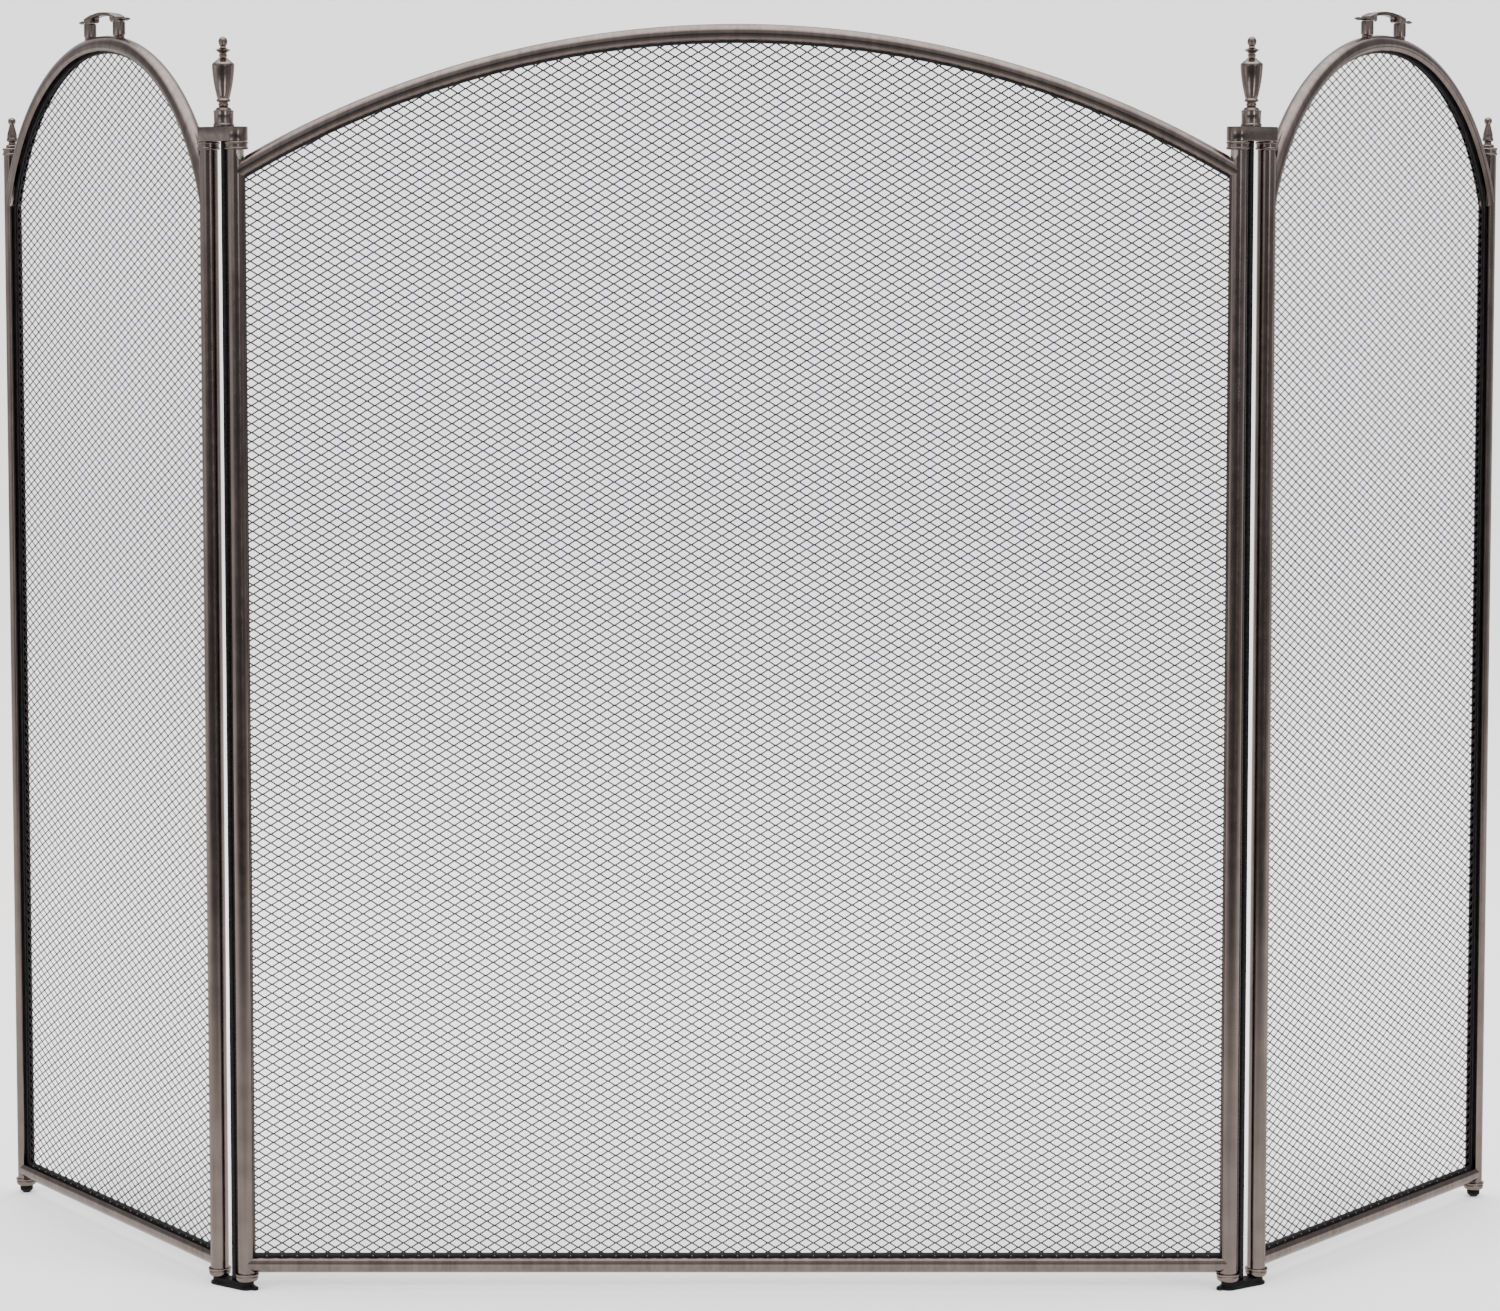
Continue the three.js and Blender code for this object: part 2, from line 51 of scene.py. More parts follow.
CENTER_X, CENTER_Y = -7.387, -126.584  # the middle of the centre panel, in the row frame
CENTER_SPAN = 675.0
WING_SPAN = 300.0
LINK_PITCH = 25.0  # between a hinge's two pivots
ROD_X = 11.0  # the tie rod and the finial, from the centre panel's pivot
LOBE_X = -7.0  # the foot's end lobe, likewise
LEFT_LINK_ANGLE, LEFT_WING_ANGLE = 34.0, 53.0  # folded back from the centre panel's line
RIGHT_LINK_ANGLE, RIGHT_WING_ANGLE = 32.0, 49.5
TUBE_R = 6.35
TUBE_WALL = 0.8
SLOT_HALF = 4.2  # half the slot's width in the arches, rails and outer posts
HINGE_SLOT_HALF = 2.6  # and in the hinge posts, below their notches
RAIL_Z = 17.8
POST_BOTTOM = 11.2
POST_TOP = 781.0
COLLAR_H = 5.6
CENTER_COLLAR_R, WING_COLLAR_R, OUTER_BUSH_R, OUTER_CAP_R = 8.25, 7.9, 7.8, 7.3
PLUG_R = 5.2  # the part of a bush or cap inside its post
PLUG_LENGTH = 12.0
PIN_BORE = 2.8
GLIDE_BORE = 2.3
NOTCH_R, NOTCH_U, NOTCH_Z = 7.6, 8.5, 780.0  # the round cut at the top of a hinge post's slot
GAP = 0.1  # between pieces that rest on each other
LINK_BOTTOM = 786.85
LINK_TOP = 796.6
LINK_EASE = 0.45  # how far the link's edges are rounded over
FINIAL_Z = LINK_TOP + GAP
GRIP_TOP = 880.5
LEG_SPACING = 44.0

CELL_W = 10.44  # the expanded metal's cells
CELL_H = 6.1
MESH_INSET = 4.5  # the cut edge of the expanded metal, in from the tube axes
# how far the binding shows past the axes of the posts, the arch and the rail
CENTER_REACHES = (5.2, 6.4, 7.0)
WING_REACHES = (5.4, 6.3, 6.4)
BEAD_DROP = 1.6  # the light beads along the rail, painted highlights on the mesh's knots, below the binding's inner edge
BEAD_Y = -1.25
BEAD_MARGIN = 9.0  # from the last bead to the post's axis, at least
CENTER_STEPS, WING_STEPS, BINDING_STEPS = 128, 112, 96  # along an arch


class Panel:
    """A panel's outline, to the tube axes, with x = 0 at its middle."""

    def __init__(self, span, arch_radius, crown):
        self.span = span
        self.half = span / 2
        self.radius = arch_radius
        self.crown = crown
        self.center_z = crown - arch_radius

    def inside(self, x, z, inset):
        """Which points lie inside the outline drawn in by inset."""
        within = (np.abs(x) < self.half - inset) & (z > RAIL_Z + inset)
        arc = x**2 + (z - self.center_z) ** 2 < (self.radius - inset) ** 2
        return within & ((z < self.center_z) | arc)

    def outline(self, side, arch, bottom, steps):
        """The outline drawn in from the posts, the arch and the rail, as (x, z) points."""
        half, radius = self.half - side, self.radius - arch
        spring = math.acos(half / radius)
        points = [(-half, RAIL_Z + bottom), (half, RAIL_Z + bottom)]
        for i in range(steps + 1):
            a = spring + (math.pi - 2 * spring) * i / steps
            points.append((radius * math.cos(a), self.center_z + radius * math.sin(a)))
        return np.array(points)


CENTER_PANEL = Panel(CENTER_SPAN, 659.0, 859.0)
WING_PANEL = Panel(WING_SPAN, 156.0, 857.5)


def place(x, y, degrees, mirror):
    """The frame at (x, y) whose x axis points along degrees and whose y axis points to the back."""
    a = math.radians(degrees)
    side = -1.0 if mirror else 1.0
    m = Matrix.Identity(4)
    m[0][0], m[1][0] = math.cos(a), math.sin(a)
    m[0][1], m[1][1] = -side * math.sin(a), side * math.cos(a)
    m[0][3], m[1][3] = x, y
    return m


def along(m, distance):
    """The point at a distance along a frame's x axis."""
    p = m @ Vector((distance, 0, 0))
    return p.x, p.y


CENTER_FRAME = place(CENTER_X, CENTER_Y, 0, False)
SIDES = {}
for side_name, end, link_angle, wing_angle, mirrored in (
    ("left", -CENTER_SPAN / 2, 180 - LEFT_LINK_ANGLE, 180 - LEFT_WING_ANGLE, True),
    ("right", CENTER_SPAN / 2, RIGHT_LINK_ANGLE, RIGHT_WING_ANGLE, False),
):
    link_frame = place(CENTER_X + end, CENTER_Y, link_angle, mirrored)
    wing_frame = place(*along(link_frame, LINK_PITCH), wing_angle, mirrored)
    wing_frame = place(*along(wing_frame, WING_SPAN / 2), wing_angle, mirrored)
    SIDES[side_name] = (link_frame, wing_frame)

# ---- Materials ---------------------------------------------------------------------------------


class Nodes:
    """A short way to write a material's node tree."""

    def __init__(self, name):
        self.material = bpy.data.materials.new(name)
        self.material.use_nodes = True
        self.tree = self.material.node_tree
        self.shader = self.tree.nodes["Principled BSDF"]
        self.coords = self.add("ShaderNodeTexCoord").outputs["Object"]

    def add(self, kind, **inputs):
        """A new node with its inputs set. An underscore in a name stands for a space."""
        node = self.tree.nodes.new(kind)
        for key, value in inputs.items():
            self.set(node.inputs[key.replace("_", " ")], value)
        return node

    def set(self, socket, value):
        """Links the socket to another one, or gives it a value of its own."""
        if isinstance(value, bpy.types.NodeSocket):
            self.tree.links.new(value, socket)
        else:
            socket.default_value = value

    def stretched(self, x, y, z):
        """The object's coordinates, scaled by axis."""
        node = self.add("ShaderNodeMapping", Vector=self.coords)
        node.inputs["Scale"].default_value = (x, y, z)
        return node.outputs["Vector"]

    def noise(self, scale, detail, vector=None):
        """Noise from 0 to 1, with scale in cells to the metre."""
        coords = vector or self.coords
        node = self.add("ShaderNodeTexNoise", Vector=coords, Scale=scale, Detail=detail)
        return node.outputs["Fac"]

    def ramp(self, fac, *stops):
        """A colour ramp through (position, colour) stops."""
        node = self.add("ShaderNodeValToRGB", Fac=fac)
        elements = node.color_ramp.elements
        while len(elements) < len(stops):
            elements.new(0.5)
        for element, (position, color) in zip(elements, stops):
            element.position = position
            element.color = (*color, 1.0)
        return node.outputs["Color"]

    def range(self, value, low, high, from_low, from_high):
        """The value, mapped from its own range onto low to high and held to it."""
        node = self.add("ShaderNodeMapRange", Value=value)
        node.inputs["From Min"].default_value = from_low
        node.inputs["From Max"].default_value = from_high
        node.inputs["To Min"].default_value = low
        node.inputs["To Max"].default_value = high
        return node.outputs["Result"]

    def mix(self, fac, a, b):
        """A colour between a and b."""
        node = self.add("ShaderNodeMix")
        node.data_type = "RGBA"
        self.set(node.inputs["Factor"], fac)
        self.set(node.inputs[6], a)
        self.set(node.inputs[7], b)
        return node.outputs[2]

    def bump(self, height, strength, distance_mm, normal=None):
        """A normal bent by a height, on top of another one if it is given."""
        node = self.add("ShaderNodeBump", Height=height, Strength=strength)
        node.inputs["Distance"].default_value = distance_mm * MM
        if normal is not None:
            self.set(node.inputs["Normal"], normal)
        return node.outputs["Normal"]

    def finish(self, **sockets):
        """Sets the shader's sockets and gives back the material."""
        for key, value in sockets.items():
            self.set(self.shader.inputs[key.replace("_", " ")], value)
        return self.material


def plated(name, dark, light, roughness, grain):
    """Plated or bare metal: faint streaks along the grain, clouds, and a slightly uneven gloss."""
    n = Nodes(name)
    streaks = n.noise(260.0, 3.0, n.stretched(*grain))
    cloud = n.mix(0.5, n.noise(45.0, 4.0), streaks)
    color = n.ramp(cloud, (0.36, dark), (0.64, light))
    rough = n.range(n.noise(160.0, 5.0), *roughness, 0.3, 0.7)
    fine = n.noise(900.0, 2.0, n.stretched(*grain))
    normal = n.bump(fine, 0.12, 0.02)
    normal = n.bump(n.noise(60.0, 1.0), 0.25, 0.05, normal)
    return n.finish(Base_Color=color, Metallic=1.0, Roughness=rough, Normal=normal)


def coated(name, dark, light, roughness, scale, bump_mm, gloss):
    """A dark coat or moulding with a fine texture and slightly uneven gloss."""
    n = Nodes(name)
    color = n.ramp(n.noise(scale * 0.25, 3.0), (0.3, dark), (0.7, light))
    rough = n.range(n.noise(scale * 0.5, 3.0), *roughness, 0.3, 0.7)
    normal = n.bump(n.noise(scale, 4.0), 0.4, bump_mm)
    n.shader.inputs["Specular IOR Level"].default_value = gloss
    return n.finish(Base_Color=color, Roughness=rough, Normal=normal)


TUBE = plated(
    "pewter_tube",
    dark=(0.185, 0.15, 0.137),
    light=(0.27, 0.218, 0.2),
    roughness=(0.14, 0.21),
    grain=(1, 1, 0.03),
)
CAST = plated(
    "pewter_casting",
    dark=(0.19, 0.155, 0.14),
    light=(0.28, 0.225, 0.205),
    roughness=(0.13, 0.22),
    grain=(1, 1, 1),
)
ZINC = plated(
    "unplated_zinc",
    dark=(0.66, 0.64, 0.59),
    light=(0.78, 0.76, 0.7),
    roughness=(0.3, 0.42),
    grain=(1, 1, 1),
)
PIN = plated(
    "turned_steel",
    dark=(0.45, 0.45, 0.44),
    light=(0.58, 0.57, 0.56),
    roughness=(0.2, 0.35),
    grain=(1, 1, 8),
)
MESH = coated(
    "black_expanded_metal",
    dark=(0.008, 0.007, 0.009),
    light=(0.015, 0.013, 0.016),
    roughness=(0.42, 0.6),
    scale=1500.0,
    bump_mm=0.02,
    gloss=0.3,
)
BINDING = coated(
    "black_binding",
    dark=(0.008, 0.007, 0.008),
    light=(0.018, 0.016, 0.017),
    roughness=(0.3, 0.42),
    scale=700.0,
    bump_mm=0.02,
    gloss=0.4,
)
ROD = coated(
    "black_rod",
    dark=(0.003, 0.003, 0.003),
    light=(0.007, 0.006, 0.007),
    roughness=(0.2, 0.32),
    scale=700.0,
    bump_mm=0.02,
    gloss=0.25,
)
PLASTIC = coated(
    "black_plastic",
    dark=(0.002, 0.002, 0.002),
    light=(0.005, 0.005, 0.005),
    roughness=(0.4, 0.55),
    scale=900.0,
    bump_mm=0.04,
    gloss=0.15,
)

# ---- Mesh building -----------------------------------------------------------------------------

# how sharp an edge has to be, in degrees, to be shaded as a corner
SHARP, TURNED_SHARP, FLAT_SHARP = 35.0, 40.0, 30.0


def piece(name, verts, faces, at, material, body, slot, stands_for, sharp=SHARP):
    """A mesh piece from points in millimetres in the frame at, riding on a CAD body."""
    mesh = bpy.data.meshes.new(name)
    matrix = np.array(at)
    points = (np.asarray(verts, float) @ matrix[:3, :3].T + matrix[:3, 3]) * MM
    if np.linalg.det(matrix[:3, :3]) < 0:
        faces = [tuple(reversed(f)) for f in faces]
    mesh.from_pydata(points.tolist(), [], [tuple(int(i) for i in f) for f in faces])
    mesh.validate()
    mesh.materials.append(material)
    mesh.shade_smooth()
    mesh.set_sharp_from_angle(angle=math.radians(sharp))
    mesh.update()
    obj = bpy.data.objects.new(name, mesh)
    bpy.context.scene.collection.objects.link(obj)
    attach(obj, body)
    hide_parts(*stands_for)
    return obj


def join(*parts):
    """Several (verts, faces) as one."""
    verts, faces, base = [], [], 0
    for v, f in parts:
        verts.append(np.asarray(v, float))
        faces += [tuple(i + base for i in face) for face in f]
        base += len(v)
    return np.concatenate(verts), faces


def moved(part, x=0.0, y=0.0, z=0.0):
    """A (verts, faces) part shifted in millimetres."""
    return np.asarray(part[0]) + (x, y, z), part[1]


def rings(loops, closed_run=False):
    """Skins equal loops of points in order, with ends, or as a ring if closed_run is true."""
    loops = np.asarray(loops, float)
    runs, count = loops.shape[:2]
    faces = []
    for i in range(runs if closed_run else runs - 1):
        a, b = i * count, (i + 1) % runs * count
        for j in range(count):
            k = (j + 1) % count
            faces.append((a + j, a + k, b + k, b + j))
    if not closed_run:
        faces.append(tuple(reversed(range(count))))
        faces.append(tuple((runs - 1) * count + j for j in range(count)))
    return loops.reshape(-1, 3), faces


def lathe(profile, segments):
    """Turns (radius, z) points, bottom to top, about the z axis. A radius of 0 closes an end."""
    verts, faces, rows = [], [], []
    for radius, z in profile:
        if radius < 1e-6:
            rows.append([len(verts)])
            verts.append((0, 0, z))
            continue
        rows.append(list(range(len(verts), len(verts) + segments)))
        for j in range(segments):
            a = 2 * math.pi * j / segments
            verts.append((radius * math.cos(a), radius * math.sin(a), z))
    for low, high in zip(rows, rows[1:]):
        for j in range(segments):
            k = (j + 1) % segments
            if len(low) == 1:
                faces.append((low[0], high[k], high[j]))
            elif len(high) == 1:
                faces.append((low[j], low[k], high[0]))
            else:
                faces.append((low[j], low[k], high[k], high[j]))
    return np.array(verts, float), faces


def rounded(profile, reach, steps=3):
    """A (radius, z) profile with its corners rounded off over a short reach."""
    points = [Vector(p) for p in profile]
    made = [tuple(points[0])]
    for before, corner, after in zip(points, points[1:], points[2:]):
        to_before, to_after = before - corner, after - corner
        cut = min(reach, to_before.length * 0.45, to_after.length * 0.45)
        start = corner + to_before.normalized() * cut
        end = corner + to_after.normalized() * cut
        for i in range(steps + 1):
            t = i / steps
            made.append(tuple(start * (1 - t) ** 2 + corner * 2 * t * (1 - t) + end * t**2))
    made.append(tuple(points[-1]))
    return made


# ---- Slotted tubes -----------------------------------------------------------------------------

INNER_R = TUBE_R - TUBE_WALL
LIP_EASE = 0.03  # radians from the slot's side to the edge of a wall, where the lip begins
OUTER_STEPS, INNER_STEPS, LIP_STEPS = 40, 20, 4


def slotted_section(half=SLOT_HALF, edge=None):
    """The C-shaped section in (u, v), its slot facing +u.

    half is half the slot's width, and edge is how far along u the lips reach where a notch
    cuts them back.
    """
    a_out = math.asin(half / TUBE_R) + LIP_EASE
    a_in = math.asin(half / INNER_R) + LIP_EASE
    if edge is not None:
        a_out = max(a_out, math.acos(min(edge / TUBE_R, 1.0)) + LIP_EASE)
        a_in = max(a_in, math.acos(min(edge / INNER_R, 1.0)) + LIP_EASE)
    points = []
    for i in range(OUTER_STEPS + 1):
        a = a_out + (2 * math.pi - 2 * a_out) * i / OUTER_STEPS
        points.append((TUBE_R * math.cos(a), TUBE_R * math.sin(a)))

    def lip(start, end):
        """The half-round edge from one wall of the tube to the other.

        Known fault: away points into the wall and not into the slot, so the edge is a groove,
        the outline crosses itself, and the flat ends of the posts are filled in wrongly.
        """
        mid = ((start[0] + end[0]) / 2, (start[1] + end[1]) / 2)
        away = Vector((start[1] - end[1], end[0] - start[0])) * 0.5
        half = Vector((start[0] - mid[0], start[1] - mid[1]))
        for i in range(1, LIP_STEPS):
            a = math.pi * i / LIP_STEPS
            points.append(tuple(Vector(mid) + half * math.cos(a) + away * math.sin(a)))

    start = (TUBE_R * math.cos(-a_out), TUBE_R * math.sin(-a_out))
    lip(start, (INNER_R * math.cos(-a_in), INNER_R * math.sin(-a_in)))
    for i in range(INNER_STEPS + 1):
        a = 2 * math.pi - a_in - (2 * math.pi - 2 * a_in) * i / INNER_STEPS
        points.append((INNER_R * math.cos(a), INNER_R * math.sin(a)))
    end = (TUBE_R * math.cos(a_out), TUBE_R * math.sin(a_out))
    lip((INNER_R * math.cos(a_in), INNER_R * math.sin(a_in)), end)
    return np.array(points)


SECTION = slotted_section()
COPE_R = TUBE_R + 0.08  # the posts' radius with a hair's clearance


def post(x, facing, notched):
    """An upright tube at x, its slot facing +x or -x and, at a hinge, notched at its top."""
    half = HINGE_SLOT_HALF if notched else SLOT_HALF
    sections = [(POST_BOTTOM, slotted_section(half))]
    if notched:
        lowest = NOTCH_Z - NOTCH_R
        for i in range(17):
            a = math.pi / 2 * i / 16
            z = min(lowest + NOTCH_R * (1 - math.cos(a)), POST_TOP)
            sections.append((z, slotted_section(half, NOTCH_U - NOTCH_R * math.sin(a))))
        reach = NOTCH_U - math.sqrt(NOTCH_R**2 - (POST_TOP - NOTCH_Z) ** 2)
        sections.append((POST_TOP, slotted_section(half, reach)))
    else:
        sections.append((POST_TOP, SECTION))
    loops = []
    for z, section in sections:
        u, v = section[:, 0] * facing, section[:, 1] * facing
        loops.append(np.stack([x + u, v, np.full_like(u, z)], 1))
    return rings(loops)


def rail(span):
    """A level tube between the posts, its slot on top and its ends shaped to the posts."""
    up, back = SECTION[:, 0], SECTION[:, 1]
    end = span / 2 - np.sqrt(np.maximum(COPE_R**2 - back**2, 0))
    return rings([np.stack([t * end, back, RAIL_Z + up], 1) for t in np.linspace(-1, 1, 9)])


def arch(panel, steps):
    """The top tube, its slot facing inwards and its ends shaped to the posts."""
    inwards, back = SECTION[:, 0], SECTION[:, 1]
    end = panel.half - np.sqrt(np.maximum(COPE_R**2 - back**2, 0))
    radius = panel.radius - inwards
    last = np.arcsin(end / radius)
    loops = []
    for t in np.linspace(-1, 1, steps + 1):
        x, z = radius * np.sin(t * last), panel.center_z + radius * np.cos(t * last)
        loops.append(np.stack([x, back, z], 1))
    return rings(loops)


# ---- Mesh and its binding ----------------------------------------------------------------------

KNOT_A = 1.2  # half the knot's width
KNOT_H = 0.5  # half its height
STRAND_T = 0.7  # the strands' thickness
TILT = 0.12  # how far each strand's upper edge leans forward
FIRST_ROW = 2.0  # the lowest row of knots, above the rail's axis
SHORTEST = 0.02  # the least share of a strand that is kept where it is cut off


def expanded_metal(panel, inset):
    """The diamond mesh inside the panel's outline: strands with a flat front and a ridged back."""
    columns = int(panel.half / (CELL_W / 2)) + 2
    rows = int((panel.crown - RAIL_Z) / (CELL_H / 2)) + 2
    i, j = np.meshgrid(np.arange(-columns, columns + 1), np.arange(0, rows), indexing="ij")
    keep = (i + j) % 2 == 0
    i, j = i[keep], j[keep]
    x, z = i * CELL_W / 2, RAIL_Z + FIRST_ROW + j * CELL_H / 2
    inside = panel.inside(x, z, inset)
    front, back = -STRAND_T / 2, STRAND_T / 2
    offsets = np.array(
        [
            (-KNOT_A, front, 0),
            (KNOT_A, front, 0),
            (0, front - TILT, KNOT_H),
            (0, front + TILT, -KNOT_H),
            (0, back, 0),
        ]
    )
    left, right, top, bottom, spine = range(5)
    index = {}
    verts = []
    for n, (a, b, c, d) in enumerate(zip(i, j, x, z)):
        if inside[n]:
            index[(int(a), int(b))] = len(verts)
            verts.extend((offsets + (c, 0, d)).tolist())
    faces = [(n + left, n + bottom, n + right, n + top) for n in index.values()]

    def strand(start, step_x, step_z):
        """One strand from a knot to its neighbour, cut off where it passes under the binding."""
        # the strand's edges as (corner at this knot, corner at the next): upper, lower and spine
        near_side, far_side = (right, left) if step_x > 0 else (left, right)
        if step_z > 0:
            upper, lower = (top, far_side), (near_side, bottom)
        else:
            upper, lower = (near_side, top), (bottom, far_side)
        base = index[start]
        other = (start[0] + step_x, start[1] + step_z)
        near = [base + upper[0], base + lower[0], base + spine]
        if other in index:
            if step_x < 0:
                return
            far_base = index[other]
            far = [far_base + upper[1], far_base + lower[1], far_base + spine]
            capped = False
        else:
            shift = np.array([step_x * CELL_W / 2, 0, step_z * CELL_H / 2])
            origin = np.array(verts[base]) - offsets[left]
            low, high = 0.0, 1.0
            for _ in range(12):
                t = (low + high) / 2
                p = origin + shift * t
                if panel.inside(p[0], p[2], inset):
                    low = t
                else:
                    high = t
            far = []
            for here, there in (upper, lower, (spine, spine)):
                a, b = origin + offsets[here], origin + shift + offsets[there]
                far.append(len(verts))
                verts.append((a + (b - a) * max(low, SHORTEST)).tolist())
            capped = True
        quads = [
            (near[0], near[1], far[1], far[0]),
            (near[1], near[2], far[2], far[1]),
            (near[2], near[0], far[0], far[2]),
        ]
        if capped:
            quads.append((far[0], far[1], far[2]))
        if step_x < 0:
            quads = [tuple(reversed(q)) for q in quads]
        faces.extend(quads)

    for key in list(index):
        for step_x in (1, -1):
            for step_z in (1, -1):
                strand(key, step_x, step_z)
    return np.array(verts), faces


def binding(panel, steps, reaches):
    """The folded black strip round the mesh, open inwards and rounded at its outer fold.

    reaches is how far it shows past the axes of the posts, the arch and the rail.
    """
    outer, half, metal = 0.2, 1.1, 0.5
    section = [(0.0, -half), (outer + 0.7, -half), (outer + 0.2, -half * 0.7), (outer, 0.0)]
    section += [(outer + 0.2, half * 0.7), (outer + 0.7, half), (0.0, half), (-0.15, half - 0.2)]
    section += [(0.0, half - metal), (outer + metal + 0.2, half - metal)]
    section += [(outer + metal + 0.2, metal - half), (0.0, metal - half), (-0.15, 0.2 - half)]
    lines = []
    for inset, y in section:
        insets = [inset if inset > 0 else reach - inset for reach in reaches]
        points = panel.outline(*insets, steps)
        lines.append(np.stack([points[:, 0], np.full(len(points), y), points[:, 1]], 1))
    return rings(np.swapaxes(np.array(lines), 0, 1), closed_run=True)


def painted_glint_beads(panel, z):
    """Small beads, one to each mesh cell, which stand proud of the binding along the rail. They sit
    where the mesh's lowest black knots are and are made light to show the knots' glints, a painted
    highlight.
    """
    bead = lathe([(0, -0.6), (0.35, -0.5), (0.55, -0.2), (0.55, 0.2), (0.35, 0.5), (0, 0.6)], 10)
    count = int((panel.half - BEAD_MARGIN) / CELL_W)
    places = [i * CELL_W for i in range(-count, count + 1)]
    return join(*[moved(bead, x, BEAD_Y, RAIL_Z + z) for x in places])


# ---- Bushes, caps and feet ---------------------------------------------------------------------


def collar(radius, base):
    """The collar's outside, from its base up: a full lip, a hollow band and a second lip."""
    points = []
    for height, r, start in ((0.95, 0.95, -90), (4.6, 0.95, -70)):
        for i in range(9):
            a = math.radians(start + (160 if start < -80 else 155) * i / 8)
            points.append((radius - r + r * math.cos(a), base + height + r * math.sin(a)))
    return points


def top_bush(radius):
    """The collar on top of a hinge post, bored for the pin."""
    seat = POST_TOP + GAP
    profile = [(PIN_BORE, seat)] + collar(radius, seat)
    profile += [(PIN_BORE, seat + COLLAR_H), (PIN_BORE, seat)]
    return lathe(profile, 56)


def spigot():
    """The unplated plug that holds a top bush in its post."""
    top, low = POST_TOP + GAP, POST_TOP - PLUG_LENGTH
    profile = [(PIN_BORE, low), (PLUG_R - 0.3, low), (PLUG_R, low + 0.6), (PLUG_R, top)]
    profile += [(PIN_BORE, top), (PIN_BORE, low)]
    return lathe(profile, 40)


def top_cap(radius):
    """The closed collar on top of a wing's outer post, with its plug."""
    seat, low = POST_TOP + GAP, POST_TOP - PLUG_LENGTH
    profile = [(0, low), (PLUG_R, low), (PLUG_R, seat)]
    profile += collar(radius, seat) + [(0, seat + COLLAR_H)]
    return lathe(profile, 56)


def bottom_bush(radius, bore):
    """The cup-shaped collar under a post: a thin rim over a rounded body."""
    base = POST_BOTTOM - GAP - COLLAR_H
    top = POST_BOTTOM + 5.5
    profile = [(bore, base), (radius - 2.6, base)]
    for i in range(1, 6):
        a = math.pi / 2 * i / 5
        profile.append((radius - 2.6 + 2.2 * math.sin(a), base + 2.5 * (1 - math.cos(a))))
    profile += [(radius - 0.4, base + 3.3), (radius - 0.75, base + 3.75)]
    profile += [(radius - 0.75, base + 4.05), (radius - 0.2, base + 4.3)]
    profile += [(radius, base + 4.6), (radius, base + 5.3), (radius - 0.3, base + COLLAR_H)]
    profile += [(PLUG_R, base + COLLAR_H), (PLUG_R, top), (bore, top), (bore, base)]
    return lathe(rounded(profile, 0.15, 2), 56)


def capsule_loop(radius, z, steps=24):
    """A level capsule round the hinge's two pivots."""
    points = []
    for i in range(steps + 1):
        a = math.pi / 2 + math.pi * i / steps
        points.append((radius * math.cos(a), radius * math.sin(a), z))
    for i in range(steps + 1):
        a = -math.pi / 2 + math.pi * i / steps
        points.append((LINK_PITCH + radius * math.cos(a), radius * math.sin(a), z))
    return points


def foot():
    """The plastic foot: a flange on the floor, a waist under the collars and a lobe at one end."""
    profile = [(5.9, 0.0), (6.2, 0.25), (6.2, 1.5), (6.0, 1.75), (5.2, 2.1)]
    profile += [(4.8, 2.5), (4.7, 3.1), (4.7, 4.95)]
    bar = rings([capsule_loop(r, z) for r, z in profile])
    outline = [(0, 0), (2.1, 0), (2.5, 0.5), (2.5, 1.9), (1.9, 2.5), (0, 2.6)]
    lobe = lathe(rounded(outline, 0.3, 3), 24)
    return join(bar, moved(lobe, LOBE_X, 0, 0.05))


def glide():
    """The plastic button under a wing's outer post, with its stem."""
    profile = [(0, 0), (2.8, 0), (3.1, 0.3), (3.4, 1.0), (4.1, 1.4), (4.6, 1.9), (4.8, 2.6)]
    profile += [(4.8, 4.6), (4.6, 4.95), (2.0, 5.0), (2.0, 12.5), (0, 12.5)]
    return lathe(rounded(profile, 0.2, 2), 48)


# ---- Hinges ------------------------------------------------------------------------------------

HINGE_FINIAL = [  # (radius, height) up from its seat
    (0, 0), (6.9, 0), (7.1, 0.4), (7.15, 1.1), (6.9, 1.7), (6.6, 2.1), (6.55, 2.6), (6.6, 6.0),
    (6.7, 9.7), (6.9, 10.1), (6.8, 10.7), (6.2, 11.0), (5.5, 11.1), (5.3, 11.6), (4.9, 12.5),
    (3.6, 13.0), (3.0, 13.4), (3.4, 13.9), (3.6, 14.6), (3.4, 15.3), (3.0, 15.8), (3.2, 16.2),
    (4.3, 16.6), (4.75, 17.2), (4.7, 17.9), (4.3, 18.4), (4.0, 18.8), (4.3, 19.4), (4.75, 21.2),
    (5.3, 23.6), (5.9, 26.4), (6.4, 29.2), (6.85, 32.2), (7.2, 35.4), (7.45, 38.4), (7.6, 40.8),
    (7.62, 41.6), (7.35, 42.3), (6.4, 43.1), (5.1, 44.1), (4.0, 45.0), (3.1, 45.9), (2.5, 46.5),
    (2.35, 46.9), (2.7, 47.3), (2.95, 47.8), (2.7, 48.3), (2.35, 48.7), (2.5, 49.2), (3.2, 49.9),
    (4.3, 50.7), (5.0, 51.2), (5.05, 51.5), (4.2, 51.9), (2.9, 52.5), (2.1, 53.2), (1.95, 53.7),
    (2.3, 54.3), (2.8, 55.3), (3.1, 56.5), (3.1, 57.5), (2.8, 58.6), (2.2, 59.5), (1.3, 60.2),
    (0, 60.5),
]

